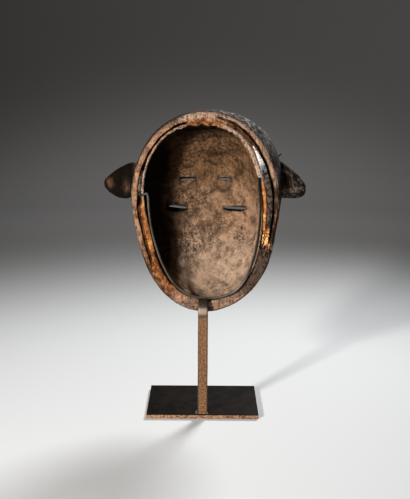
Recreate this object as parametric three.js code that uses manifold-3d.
// A carved wooden face mask on its iron display stand, seen as a three.js scene graph.
// Millimetres, +Z up. The origin is the middle of the foot plate's underside. The mask looks
// toward -Y and its open, hollow side faces +Y, where the stand's upright is.

import * as THREE from "three";
import { mergeVertices } from "three/addons/utils/BufferGeometryUtils.js";
import Module from "manifold-3d";

const wasm = await Module();
wasm.setup();

// Driving dimensions of the stand
const CLEARANCE = 0.3; // between pieces that touch
const PLATE = { width: 150, depth: 120, height: 6, edge: 0.6 };
const BAR = { width: 13, thickness: 5, fromEdge: 3, bendFrom: 138, bendRadius: 34, bendAngle: 43 };
const ROD = { radius: 1.5, behindRim: 2.1, sides: 8, steps: 48, endWeight: 0.5 };
const HOOK = { angle: -72, depth: 0.7 }; // where the rod's left end is hooked into a groove

// Driving dimensions of the mask's shell
const RIM_Y = 45; // plane of the rim, behind the plate's middle
const CENTRE = { x: -2, z: 272.6 }; // the middle that the outline's radius is measured from
const OUTLINE = { mean: 111.3, egg: 5.1, tall: 18.3, chin: -2.6, square: 1.5 };
const JAW = { angle: 131, spread: 26, height: 5 }; // the rim's fuller stretch low on one side
const RIM_WIDTH = { mean: 16.2, lean: 1.2, sides: 2.4, chin: 1.3, skew: 3.2 };
const CROWN = { angle: -2, spread: 17, height: 4 }; // the rim's wider stretch at the crown
const TEMPLE_RIM = { angle: 48, spread: 20, cutBack: 1.5, wider: 2.3 }; // where the rim is drawn in and wide
const SHELL = { depth: 100, roundness: 3.2, fullness: 2.3, swell: 0.045, widest: 0.75, swellRun: 1.2 };
const RIGHT_TEMPLE = { angle: 42, spread: 24, height: 0.1 }; // swellings beyond the rim
const LEFT_TEMPLE = { angle: -41, spread: 24, height: 0.05 };
const HOLLOW = { depth: 76, roundness: 2.6, fullness: 2 };
const LEAN = { sideways: 5, front: 1 }; // the head leans to one side of its rim
const FRONT_CENTRE_Z = 262; // height that the front's rings close on
const RIM_EDGE = { outside: 1.5, inside: 1.2 }; // how far the rim's two edges are rounded

// Grooves cut in the rim: angles from the crown toward -X, places as parts of the rim's width
const RIGHT_GROOVE = { from: 10, to: 112, lip: 0.25, end: 0.4, ledge: 0.74, depth: 8 };
const LEFT_GROOVE = { from: -129, to: -14, lip: 0.48, end: 0.8, ledge: 0.84, depth: 7 };
const LOW_GROOVE = { below: -78, fade: 6, lip: 0.4, end: 0.62, depth: 3.5 }; // the left groove, low down
const GROOVE_WALL = 0.4; // how far the grooves' walls lean
const GROOVE_FADE = 5; // degrees over which a groove runs out
const BED_MARGIN = { angle: 4, fade: 2 }; // a strip's bed runs this much past the strip's ends
const STRIP = { from: 34, to: 98, thickness: 1, point: 14, tip: 0.2 };
const STRIP_HOLES = { count: 6, from: 67.5, to: 96, radius: 0.8 };
const REMNANT = { from: -70, to: -59, thickness: 1, point: 1, tip: 0.7, depth: 2.6 };
const BREAK = { middle: 112, halfAngle: 9, depth: 4.5 };

// Driving dimensions of the face, x from its own middle line, all heights above the plain dome
const CARVED_FROM = [0.5, 0.85]; // parts of the shell's depth over which the carving rises
const BROW = { z: 318, drop: 0.0016, reach: 80, fade: 20, roll: 4.5, rollWidth: 9, rollAbove: 4 };
const BROW_ARCH = { x: 36, height: 3.5, spread: 24 };
const EYE_PLANE = { depth: 10, underBrow: 10, lowest: 238, fade: 26 };
const FOREHEAD = { z: 366, height: 14, spreadX: 50, spreadZ: 38 };
const RIDGE = { height: 3, width: 5, from: 318, to: 390, fade: 8 };
const NOSE = { top: 314, base: 229, fade: 9, bridgeHalf: 8, baseHalf: 19, flare: 1.4 };
const NOSE_HEIGHT = { bridge: 9, tip: 24 };
const WING = { x: 14, z: 238, height: 12, spread: 8 };
const EYE = { x: 39.3, z: 270, halfWidth: 24, halfHeight: 10, corner: 0.25, height: 6.5 };
const EYE_BED = { depth: 4, halfHeight: 3, halfWidth: 18 };
const CHEEK = { x: 52, z: 228, height: 5, spread: 22 };
const MOUTH = { z: 195, arch: -1.4, halfWidth: 32, mound: 10, moundSpreadX: 36, moundSpreadZ: 22 };
const LIPS = { height: 6.5, upper: 6.8, lower: 7.2, spread: 5.8, parting: 3.5, partingSpread: 3 };
const CHIN = { z: 164, height: 8, spreadX: 24, spreadZ: 13 };

// Openings through the face: a narrow throat that widens over a stretch to meet the hollow
const SLITS = [
  { x: -43.4, z: 271.4, inside: [33, 9], outside: [31, 3.2], throat: -40, rise: 1.3, tilt: 3.5 },
  { x: 36.6, z: 271.4, inside: [28, 10], outside: [26, 3], throat: -40, rise: 2.6, tilt: 6.5 },
  { x: -28.5, z: 312, inside: [19, 5.6], outside: [17, 2.8], throat: -43, rise: 0.5, tilt: 0 },
  { x: 22, z: 312, inside: [22, 6.2], outside: [19, 2.8], throat: -43, rise: -0.6, tilt: -3 },
];
const SLIT_RUN = { beyondFront: 20, intoHollow: 26, flare: 15, fall: 0.14, stations: 5, sides: 16 };

// The ears: sizes at the root and at the tip, up and down from the ear's axis
const EAR = { root: 78, y: 8, z: 316.5, halfDepth: [17, 9] };
const EAR_SCOOP = { depth: 0.55, height: 0.5, from: 0.35, to: 0.6 };
const RIGHT_EAR = { side: -1, tip: 135.5, fall: 12.5, up: [42, 11], down: [24.8, 13.8], blunt: [3.5, 3.5] };
const LEFT_EAR = { side: 1, tip: 132.3, fall: 7, up: [31.5, 10], down: [26, 21.5], blunt: [2.6, 1.7] };
const NAIL = { angle: 50.5, place: 0.2, radius: 0.9, proud: 5.2, buried: 5 };
const NAIL_HEAD = { radius: 1.7, height: 0.9 };

// How finely the shell is cut up
const SEGMENTS = 72;
const OUTER_RINGS = 29;
const INNER_RINGS = 9;
const FACE_FINENESS = 2.6; // rings stand this much closer on the face than on the side wall

const radians = THREE.MathUtils.degToRad;
const clamp = THREE.MathUtils.clamp;
const mix = THREE.MathUtils.lerp;

/** Eases from 0 at `a` to 1 at `b`. */
function ease(a, b, value) {
  const k = clamp((value - a) / (b - a), 0, 1);
  return k * k * (3 - 2 * k);
}

/** A smooth bump of height 1 at zero distance. */
function bump(distance, spread) {
  return Math.exp(-((distance / spread) ** 2));
}

/** 1 inside an angular range in degrees, easing to 0 over `soft` degrees beyond its ends. */
function within(angle, from, to, soft) {
  return ease(from - soft, from, angle) * (1 - ease(to, to + soft, angle));
}

// The shell

/** An angle in radians as degrees from the crown, positive toward -X. */
function degreesFromCrown(a) {
  return THREE.MathUtils.radToDeg(Math.atan2(Math.sin(a), Math.cos(a)));
}

/** Outer radius of the rim at an angle in radians from the crown toward -X. */
function outlineRadius(a) {
  const { mean, egg, tall, chin, square } = OUTLINE;
  const waves = [mean, egg, tall, chin, square];
  const uneven = jawSwelling(a) - TEMPLE_RIM.cutBack * templeShare(a);
  return waves.reduce((sum, height, n) => sum + height * Math.cos(n * a), uneven);
}

/** What the fuller stretch of the jaw adds to the outline. */
function jawSwelling(a) {
  return JAW.height * bump(degreesFromCrown(a) - JAW.angle, JAW.spread);
}

/** How far the rim is in the stretch by one temple where it is drawn in. */
function templeShare(a) {
  return bump(degreesFromCrown(a) - TEMPLE_RIM.angle, TEMPLE_RIM.spread);
}

/** Width of the rim's face, thicker at one temple and opposite it. */
function rimWidth(a) {
  const { mean, lean, sides, chin, skew } = RIM_WIDTH;
  const around = lean * Math.cos(a - radians(45)) - sides * Math.cos(2 * a) - chin * Math.cos(3 * a);
  const crown = CROWN.height * bump(degreesFromCrown(a) - CROWN.angle, CROWN.spread);
  return mean + around + skew * Math.sin(2 * a) + jawSwelling(a) + crown + TEMPLE_RIM.wider * templeShare(a);
}

/** A point of a dome's section: how far out and how deep, each from 0 to 1, for s from rim to middle. */
function domeSection(s, roundness, fullness) {
  const turn = (s * Math.PI) / 2;
  return { out: Math.cos(turn) ** (2 / roundness), deep: Math.sin(turn) ** (2 / fullness) };
}

/** The forehead's swelling with the low ridge down its middle. */
function foreheadHeight(x, z) {
  const dome = FOREHEAD.height * bump(z - FOREHEAD.z, FOREHEAD.spreadZ) * bump(x, FOREHEAD.spreadX);
  return dome + RIDGE.height * bump(x, RIDGE.width) * within(z, RIDGE.from, RIDGE.to, RIDGE.fade);
}

/** The arched brow's roll, and the eye plane that is cut back below it. */
function browHeight(x, z) {
  const arch = BROW_ARCH.height * bump(Math.abs(x) - BROW_ARCH.x, BROW_ARCH.spread);
  const line = BROW.z + arch - BROW.drop * x * x;
  const span = 1 - ease(BROW.reach - BROW.fade, BROW.reach, Math.abs(x));
  const roll = BROW.roll * bump(z - line - BROW.rollAbove, BROW.rollWidth);
  const below = 1 - ease(line - EYE_PLANE.underBrow, line + 1, z);
  const above = ease(EYE_PLANE.lowest - EYE_PLANE.fade, EYE_PLANE.lowest + EYE_PLANE.fade, z);
  return (roll - EYE_PLANE.depth * below * above) * span;
}

/** The nose: a wedge that widens and rises to its base, with a rounded wing at each side. */
function noseHeight(x, z) {
  const down = clamp((NOSE.top - z) / (NOSE.top - NOSE.base), 0, 1);
  const half = mix(NOSE.bridgeHalf, NOSE.baseHalf, down ** NOSE.flare);
  const wedge = mix(NOSE_HEIGHT.bridge, NOSE_HEIGHT.tip, down) * (1 - ease(0.15, 1.25, Math.abs(x) / half));
  const wing = WING.height * bump(Math.abs(x) - WING.x, WING.spread) * bump(z - WING.z, WING.spread);
  return Math.hypot(wedge, wing) * within(z, NOSE.base, NOSE.top, NOSE.fade);
}

/** A closed almond-shaped eye with a narrow bed along its slit. */
function eyeHeight(x, z) {
  const along = (Math.abs(x) - EYE.x) / EYE.halfWidth;
  const arch = Math.sqrt(Math.max(0, 1 - along * along));
  const up = (z - EYE.z) / (EYE.halfHeight * mix(EYE.corner, 1, arch));
  const lids = EYE.height * (1 - ease(0.7, 1.3, Math.hypot(along, up)));
  const bedSpan = 1 - ease(0.7, 1, Math.abs(along * EYE.halfWidth) / EYE_BED.halfWidth);
  return lids - EYE_BED.depth * bump(z - EYE.z, EYE_BED.halfHeight) * bedSpan;
}

/** The rounded muzzle with its two closed lips. */
function mouthHeight(x, z) {
  const flat = 1 - (x / MOUTH.halfWidth) ** 2;
  const line = MOUTH.z + MOUTH.arch * flat;
  const mound = MOUTH.mound * bump(x, MOUTH.moundSpreadX) * bump(z - MOUTH.z, MOUTH.moundSpreadZ);
  const upper = bump(z - line - LIPS.upper, LIPS.spread);
  const lower = bump(z - line + LIPS.lower, LIPS.spread);
  const lips = LIPS.height * Math.hypot(upper, lower) - LIPS.parting * bump(z - line, LIPS.partingSpread);
  return mound + lips * Math.sqrt(Math.max(0, flat));
}

/** Height of the whole carved face above the plain dome. */
function carvedHeight(x, z) {
  const beside = Math.abs(x) - CHEEK.x;
  const cheek = CHEEK.height * bump(beside, CHEEK.spread) * bump(z - CHEEK.z, CHEEK.spread);
  const chin = CHIN.height * bump(x, CHIN.spreadX) * bump(z - CHIN.z, CHIN.spreadZ);
  const upper = foreheadHeight(x, z) + browHeight(x, z) + eyeHeight(x, z);
  return upper + noseHeight(x, z) + mouthHeight(x, z) + cheek + chin;
}

/** How far the side wall swells beyond the rim, as a part of the outline's radius. */
function swelling(a, deep) {
  const degrees = degreesFromCrown(a);
  const at = ({ angle, spread, height }) => height * bump(degrees - angle, spread);
  const rising = Math.sin((Math.PI * Math.min(deep, SHELL.widest)) / SHELL.swellRun);
  return (SHELL.swell + at(RIGHT_TEMPLE) + at(LEFT_TEMPLE)) * rising;
}

/** A point of the outer surface, for s from 0 at the rim to 1 at the middle of the front. */
function outerPoint(a, s) {
  const { out, deep } = domeSection(s, SHELL.roundness, SHELL.fullness);
  const radius = outlineRadius(a) * out * (1 + swelling(a, deep));
  const upper = ease(-0.5, 0.6, Math.cos(a));
  const shift = LEAN.sideways * upper * Math.sin(Math.PI * deep) + LEAN.front * deep;
  const x = -radius * Math.sin(a);
  const z = mix(CENTRE.z, FRONT_CENTRE_Z, deep * deep) + radius * Math.cos(a);
  const carved = carvedHeight(x, z) * ease(...CARVED_FROM, deep);
  const y = mix(RIM_Y - RIM_EDGE.outside, RIM_Y - SHELL.depth, deep) - carved;
  return new THREE.Vector3(CENTRE.x + x - shift, y, z);
}

/** A point of the hollow, for s from 0 at the rim's inner edge to 1 at the deepest point. */
function innerPoint(a, s) {
  const { out, deep } = domeSection(s, HOLLOW.roundness, HOLLOW.fullness);
  const radius = (outlineRadius(a) - rimWidth(a)) * out;
  const x = CENTRE.x - radius * Math.sin(a) - LEAN.front * deep;
  const y = mix(RIM_Y - RIM_EDGE.inside, RIM_Y - HOLLOW.depth, deep);
  return new THREE.Vector3(x, y, CENTRE.z + radius * Math.cos(a));
}

/** The rim's stations from outside to inside: how far in, and how deep below the rim's plane. */
function rimStations(a) {
  const degrees = degreesFromCrown(a);
  const width = rimWidth(a);
  const onRight = ease(-0.15, 0.15, Math.sin(a));
  const low = 1 - ease(LOW_GROOVE.below - LOW_GROOVE.fade, LOW_GROOVE.below, degrees);
  const lip = mix(mix(LEFT_GROOVE.lip, LOW_GROOVE.lip, low), RIGHT_GROOVE.lip, onRight) * width;
  const end = mix(mix(LEFT_GROOVE.end, LOW_GROOVE.end, low), RIGHT_GROOVE.end, onRight) * width;
  const ledgeEnd = mix(LEFT_GROOVE.ledge, RIGHT_GROOVE.ledge, onRight) * width;
  const { angle: past, fade } = BED_MARGIN;
  const bed = ({ from, to }) => within(degrees, from - past, to + past, fade);
  const right = RIGHT_GROOVE.depth * within(degrees, RIGHT_GROOVE.from, RIGHT_GROOVE.to, GROOVE_FADE);
  const leftDepth = mix(mix(LEFT_GROOVE.depth, LOW_GROOVE.depth, low), REMNANT.depth, bed(REMNANT));
  const left = leftDepth * within(degrees, LEFT_GROOVE.from, LEFT_GROOVE.to, GROOVE_FADE);
  const ledge = (STRIP.thickness + 2 * CLEARANCE) * bed(STRIP);
  const broken = BREAK.depth * bump(degrees - BREAK.middle, BREAK.halfAngle);
  const groove = Math.max(right + left, broken);
  return [
    [RIM_EDGE.outside, 0],
    [lip, 0.4 * broken],
    [lip + GROOVE_WALL, groove],
    [end - GROOVE_WALL, groove],
    [end, Math.max(ledge, broken)],
    [ledgeEnd, Math.max(ledge, 0.5 * broken)],
    [ledgeEnd + GROOVE_WALL, 0],
    [width - RIM_EDGE.inside, 0],
  ];
}

/** A point on the rim's face, `inset` in from its outer edge and `drop` below its plane. */
function rimPoint(a, inset, drop) {
  const radius = outlineRadius(a) - inset;
  return new THREE.Vector3(CENTRE.x - radius * Math.sin(a), RIM_Y - drop, CENTRE.z + radius * Math.cos(a));
}

/** Stations from 0 to 1 that stand evenly along the outer section, closer on the face. */
function outerStations(count) {
  const samples = 400;
  const along = [0];
  for (let i = 1; i <= samples; i += 1) {
    const before = domeSection((i - 1) / samples, SHELL.roundness, SHELL.fullness);
    const here = domeSection(i / samples, SHELL.roundness, SHELL.fullness);
    const inward = (before.out - here.out) * OUTLINE.mean;
    const step = Math.hypot(inward, (here.deep - before.deep) * SHELL.depth);
    along.push(along[i - 1] + step * mix(1, FACE_FINENESS, ease(0.6, 0.8, here.deep)));
  }
  const stations = [];
  let sample = 0;
  for (let ring = 0; ring <= count; ring += 1) {
    const target = (along[samples] * ring) / count;
    while (sample < samples && along[sample] < target) sample += 1;
    stations.push(sample / samples);
  }
  return stations;
}

/** The mask's shell: a sphere's rings laid from the middle of the front, over the rim, into the hollow. */
function shellGeometry() {
  const stations = outerStations(OUTER_RINGS);
  const rimCount = rimStations(0).length;
  const rings = OUTER_RINGS + rimCount + INNER_RINGS + 1;
  const geometry = new THREE.SphereGeometry(1, SEGMENTS, rings);
  const position = geometry.attributes.position;
  for (let i = 0; i < position.count; i += 1) {
    const ring = Math.floor(i / (SEGMENTS + 1));
    const a = ((i % (SEGMENTS + 1)) / SEGMENTS) * 2 * Math.PI;
    let point;
    if (ring <= OUTER_RINGS) {
      point = outerPoint(a, stations[OUTER_RINGS - ring]);
    } else if (ring <= OUTER_RINGS + rimCount) {
      point = rimPoint(a, ...rimStations(a)[ring - OUTER_RINGS - 1]);
    } else {
      point = innerPoint(a, (ring - OUTER_RINGS - rimCount - 1) / INNER_RINGS);
    }
    position.setXYZ(i, point.x, point.y, point.z);
  }
  shortenDiagonals(geometry, rings);
  return geometry;
}

/** Splits each four-sided cell of a sphere's grid along its shorter diagonal, so that ridges run clean. */
function shortenDiagonals(geometry, rings) {
  const index = geometry.index;
  const corner = (i) => new THREE.Vector3().fromBufferAttribute(geometry.attributes.position, i);
  for (let ring = 1; ring < rings - 1; ring += 1) {
    for (let segment = 0; segment < SEGMENTS; segment += 1) {
      const b = ring * (SEGMENTS + 1) + segment;
      const [a, c, d] = [b + 1, b + SEGMENTS + 1, b + SEGMENTS + 2];
      if (corner(a).distanceTo(corner(c)) < corner(b).distanceTo(corner(d))) {
        const first = 3 * (SEGMENTS * (2 * ring - 1) + 2 * segment);
        [a, b, c, a, c, d].forEach((vertex, i) => index.setX(first + i, vertex));
      }
    }
  }
}

/** One ear: a wedge with a blunt, rounded tip and a scooped front. */
function earGeometry({ side, tip, fall, up: upper, down: lower, blunt }) {
  const geometry = new THREE.SphereGeometry(1, 18, 12).rotateZ(-Math.PI / 2);
  const position = geometry.attributes.position;
  for (let i = 0; i < position.count; i += 1) {
    const outward = clamp(position.getX(i), -1, 1);
    const across = position.getY(i);
    const up = position.getZ(i);
    const along = (outward + 1) / 2;
    const ring = Math.max(1e-6, Math.hypot(across, up));
    const power = up > 0 ? blunt[0] : blunt[1];
    const full = outward > 0 ? (1 - outward ** power) ** (1 / power) : ring;
    const halfHeight = mix(...(up > 0 ? upper : lower), along);
    const hollowed = bump(up, EAR_SCOOP.height) * ease(EAR_SCOOP.from, EAR_SCOOP.to, along);
    const scoop = across < 0 ? 1 - EAR_SCOOP.depth * hollowed : 1;
    const y = EAR.y + (across / ring) * full * mix(...EAR.halfDepth, along) * scoop;
    const z = EAR.z - fall * along + (up / ring) * full * halfHeight;
    position.setXYZ(i, side * mix(EAR.root, tip, along), y, z);
  }
  if (side < 0) {
    turnInsideOut(geometry);
  }
  return geometry;
}

/** Reverses every face of a mirrored geometry, so that it points out again. */
function turnInsideOut(geometry) {
  const index = geometry.index;
  for (let i = 0; i < index.count; i += 3) {
    const first = index.getX(i);
    index.setX(i, index.getX(i + 2));
    index.setX(i + 2, first);
  }
}

/** A cutter for one slit: wide at the hollow, narrow from its throat on, and falling toward the front. */
function slitCutter({ x, z, inside, outside, throat, rise, tilt }) {
  const front = RIM_Y - SHELL.depth - SLIT_RUN.beyondFront;
  const back = RIM_Y - HOLLOW.depth + SLIT_RUN.intoHollow;
  const cutter = new THREE.CylinderGeometry(1, 1, back - front, SLIT_RUN.sides, SLIT_RUN.stations);
  const position = cutter.attributes.position;
  for (let i = 0; i < position.count; i += 1) {
    const y = (front + back) / 2 + position.getY(i);
    const open = ease(throat, throat + SLIT_RUN.flare, y);
    const away = (position.getX(i) * mix(outside[0], inside[0], open)) / 2;
    const middle = z + SLIT_RUN.fall * (y - throat - SLIT_RUN.flare) + rise * (1 - open);
    const lean = Math.tan(radians(tilt)) * (1 - open) * away;
    const up = (position.getZ(i) * mix(outside[1], inside[1], open)) / 2;
    position.setXYZ(i, x + away, y, middle + lean + up);
  }
  return cutter;
}

/** A closed geometry as a solid that can be joined and cut. */
function toSolid(geometry) {
  const bare = geometry.clone();
  bare.deleteAttribute("normal");
  bare.deleteAttribute("uv");
  const merged = mergeVertices(bare, 1e-5);
  const vertProperties = new Float32Array(merged.attributes.position.array);
  const triVerts = new Uint32Array(merged.index.array);
  return new wasm.Manifold(new wasm.Mesh({ numProp: 3, vertProperties, triVerts }));
}

/** A solid as a geometry again. */
function toGeometry(solid) {
  const mesh = solid.getMesh();
  const geometry = new THREE.BufferGeometry();
  geometry.setAttribute("position", new THREE.BufferAttribute(new Float32Array(mesh.vertProperties), 3));
  geometry.setIndex(new THREE.BufferAttribute(new Uint32Array(mesh.triVerts), 1));
  geometry.computeVertexNormals();
  return geometry;
}

/** Where the nail enters the outer wall, and the direction it sticks out in. */
function nailSeat() {
  const a = radians(NAIL.angle);
  const point = outerPoint(a, NAIL.place);
  return { point, out: new THREE.Vector3(-Math.sin(a), 0, Math.cos(a)) };
}

/** Turns a shape drawn along +Y so that it points along `out` from `point`. */
function aim(geometry, point, out) {
  const turn = new THREE.Quaternion().setFromUnitVectors(new THREE.Vector3(0, 1, 0), out);
  return geometry.applyQuaternion(turn).translate(point.x, point.y, point.z);
}

/** The whole carved mask: shell and ears joined, then slits and the nail's hole cut. */
function maskGeometry() {
  let solid = toSolid(shellGeometry());
  for (const ear of [RIGHT_EAR, LEFT_EAR]) {
    solid = solid.add(toSolid(earGeometry(ear)));
  }
  for (const slit of SLITS) {
    solid = solid.subtract(toSolid(slitCutter(slit)));
  }
  const { point, out } = nailSeat();
  const reach = NAIL.buried + NAIL.proud;
  const hole = new THREE.CylinderGeometry(NAIL.radius + CLEARANCE, NAIL.radius + CLEARANCE, reach, 10);
  hole.translate(0, reach / 2 - NAIL.buried - CLEARANCE, 0);
  return toGeometry(solid.subtract(toSolid(aim(hole, point, out))));
}

/** The nail: a round shank with a flat head. */
function nailGeometry() {
  const { radius, proud, buried } = NAIL;
  const profile = [
    [0, -buried],
    [radius, -buried + radius],
    [radius, proud - NAIL_HEAD.height],
    [NAIL_HEAD.radius, proud - NAIL_HEAD.height],
    [NAIL_HEAD.radius, proud - NAIL_HEAD.height / 3],
    [0, proud],
  ].map(([x, y]) => new THREE.Vector2(x, y));
  const { point, out } = nailSeat();
  return aim(new THREE.LatheGeometry(profile, 10), point, out);
}

// The metal strips let into the rim

/** A flat strip that follows the rim, its edges at two places in the rim's width. */
function stripGeometry({ from, to, thickness, point, tip }, { outer, inner, margin, drop }, holes) {
  const steps = Math.max(6, Math.round((to - from) / 3));
  const at = (degrees, across) => {
    const a = radians(degrees);
    const half = ((inner - outer) * rimWidth(a)) / 2 - margin;
    const taper = clamp(mix(tip, 1, (degrees - from) / point), tip, 1);
    const onRim = rimPoint(a, ((inner + outer) * rimWidth(a)) / 2 - half * taper * across, 0);
    return new THREE.Vector2(onRim.x, onRim.z);
  };
  const outline = [];
  for (let i = 0; i <= steps; i += 1) {
    outline.push(at(mix(from, to, i / steps), 1));
  }
  for (let i = steps; i >= 0; i -= 1) {
    outline.push(at(mix(from, to, i / steps), -1));
  }
  const shape = new THREE.Shape(outline);
  for (let i = 0; i < holes.count; i += 1) {
    const middle = at(mix(holes.from, holes.to, i / (holes.count - 1)), 0);
    const hole = new THREE.Path().absarc(middle.x, middle.y, holes.radius, 0, 2 * Math.PI, true);
    shape.holes.push(hole);
  }
  const settings = { depth: thickness, bevelEnabled: false, curveSegments: 6 };
  const geometry = new THREE.ExtrudeGeometry(shape, settings);
  return geometry.rotateX(Math.PI / 2).translate(0, RIM_Y - drop, 0);
}

/** The long strip on the right of the hollow side, pointed at its upper end. */
function longStripGeometry() {
  const bed = { outer: RIGHT_GROOVE.end, inner: RIGHT_GROOVE.ledge, margin: CLEARANCE, drop: CLEARANCE };
  return stripGeometry(STRIP, bed, STRIP_HOLES);
}

/** The short end of a strip that is left in the other groove. */
function remnantGeometry() {
  const margin = GROOVE_WALL + CLEARANCE;
  const drop = REMNANT.depth - REMNANT.thickness - CLEARANCE;
  const bed = { outer: LEFT_GROOVE.lip, inner: LEFT_GROOVE.end, margin, drop };
  return stripGeometry(REMNANT, bed, { count: 0 });
}

// The stand

/** The foot: a flat plate with its edges lightly broken. */
function plateGeometry() {
  const { width, depth, height, edge } = PLATE;
  const x = width / 2 - edge;
  const y = depth / 2 - edge;
  const corners = [[-x, -y], [x, -y], [x, y], [-x, y]].map(([cx, cy]) => new THREE.Vector2(cx, cy));
  const bevel = { bevelEnabled: true, bevelThickness: edge, bevelSize: edge, bevelSegments: 1 };
  const settings = { depth: height - 2 * edge, ...bevel };
  return new THREE.ExtrudeGeometry(new THREE.Shape(corners), settings).translate(0, 0, edge);
}

/** The upright: a flat bar that curves toward the mask at its top. */
function barGeometry() {
  const { width, thickness, fromEdge, bendFrom, bendRadius, bendAngle } = BAR;
  const y = PLATE.depth / 2 - fromEdge;
  const bottom = PLATE.height + CLEARANCE;
  const shape = new THREE.Shape();
  const turn = radians(bendAngle);
  shape.moveTo(y + thickness / 2, bottom);
  shape.lineTo(y + thickness / 2, bendFrom);
  shape.absarc(y - bendRadius, bendFrom, bendRadius + thickness / 2, 0, turn, false);
  shape.absarc(y - bendRadius, bendFrom, bendRadius - thickness / 2, turn, 0, true);
  shape.lineTo(y - thickness / 2, bottom);
  const settings = { depth: width, bevelEnabled: false, curveSegments: 8 };
  const geometry = new THREE.ExtrudeGeometry(shape, settings);
  return geometry.rotateX(Math.PI / 2).rotateZ(Math.PI / 2).translate(-width / 2, 0, 0);
}

/** A smooth curve whose even steps stand closer together toward its two ends. */
class EndWeightedCurve extends THREE.CatmullRomCurve3 {
  weighted(u) {
    return u - (ROD.endWeight / (2 * Math.PI)) * Math.sin(2 * Math.PI * u);
  }

  getPointAt(u, target) {
    return super.getPointAt(this.weighted(u), target);
  }

  getTangentAt(u, target) {
    return super.getTangentAt(this.weighted(u), target);
  }
}

/** The cradle's route: hooked into the left groove, then a deep U that ends at the rim's right inner edge. */
function cradleRoute() {
  const y = RIM_Y + ROD.behindRim;
  const left = radians(HOOK.angle);
  const groove = (rimWidth(left) * (LEFT_GROOVE.lip + LEFT_GROOVE.end)) / 2;
  const arms = [
    [73.6, 301], [71.2, 281], [68, 256], [62, 232], [52.5, 206], [38, 182], [20, 168.2], [0, 163.2],
    [-20, 163.8], [-40, 171], [-56, 189], [-66, 216], [-72, 250], [-73.8, 284], [-71.6, 312],
    [-70.8, 322.5],
  ].map(([x, z]) => new THREE.Vector3(x, y, z));
  const hook = [
    rimPoint(left, groove, HOOK.depth),
    rimPoint(left, groove + GROOVE_WALL, -ROD.behindRim),
    rimPoint(left, rimWidth(left) - 1, -ROD.behindRim),
  ];
  return new EndWeightedCurve([...hook, ...arms], false, "centripetal");
}

/** The cradle: one round rod bent to its route. */
function cradleGeometry() {
  const section = new THREE.Shape();
  for (let i = 0; i < ROD.sides; i += 1) {
    const a = (2 * Math.PI * i) / ROD.sides;
    const x = ROD.radius * Math.cos(a);
    const y = ROD.radius * Math.sin(a);
    if (i === 0) {
      section.moveTo(x, y);
    } else {
      section.lineTo(x, y);
    }
  }
  return new THREE.ExtrudeGeometry(section, { steps: ROD.steps, extrudePath: cradleRoute() });
}

// The scene graph

const WOOD = new THREE.MeshStandardMaterial({ color: 0x4a3527, roughness: 0.62, metalness: 0 });
const DARK_IRON = new THREE.MeshStandardMaterial({ color: 0x3a3430, roughness: 0.5, metalness: 0.9 });
const RUSTED_IRON = new THREE.MeshStandardMaterial({ color: 0x4b3020, roughness: 0.7, metalness: 0.7 });
const WORN_METAL = new THREE.MeshStandardMaterial({ color: 0x8d8a86, roughness: 0.4, metalness: 0.9 });

/** A named mesh of one piece. */
function piece(name, geometry, material) {
  const mesh = new THREE.Mesh(geometry, material);
  mesh.name = name;
  return mesh;
}

const stand = new THREE.Group();
stand.add(piece("foot_plate", plateGeometry(), RUSTED_IRON));
stand.add(piece("upright_bar", barGeometry(), RUSTED_IRON));
stand.add(piece("cradle_rod", cradleGeometry(), DARK_IRON));

const carving = new THREE.Group();
carving.add(piece("mask", maskGeometry(), WOOD));
carving.add(piece("rim_strip", longStripGeometry(), WORN_METAL));
carving.add(piece("rim_strip_remnant", remnantGeometry(), WORN_METAL));
carving.add(piece("temple_nail", nailGeometry(), DARK_IRON));

const model = new THREE.Group();
model.add(stand, carving);

export default model;
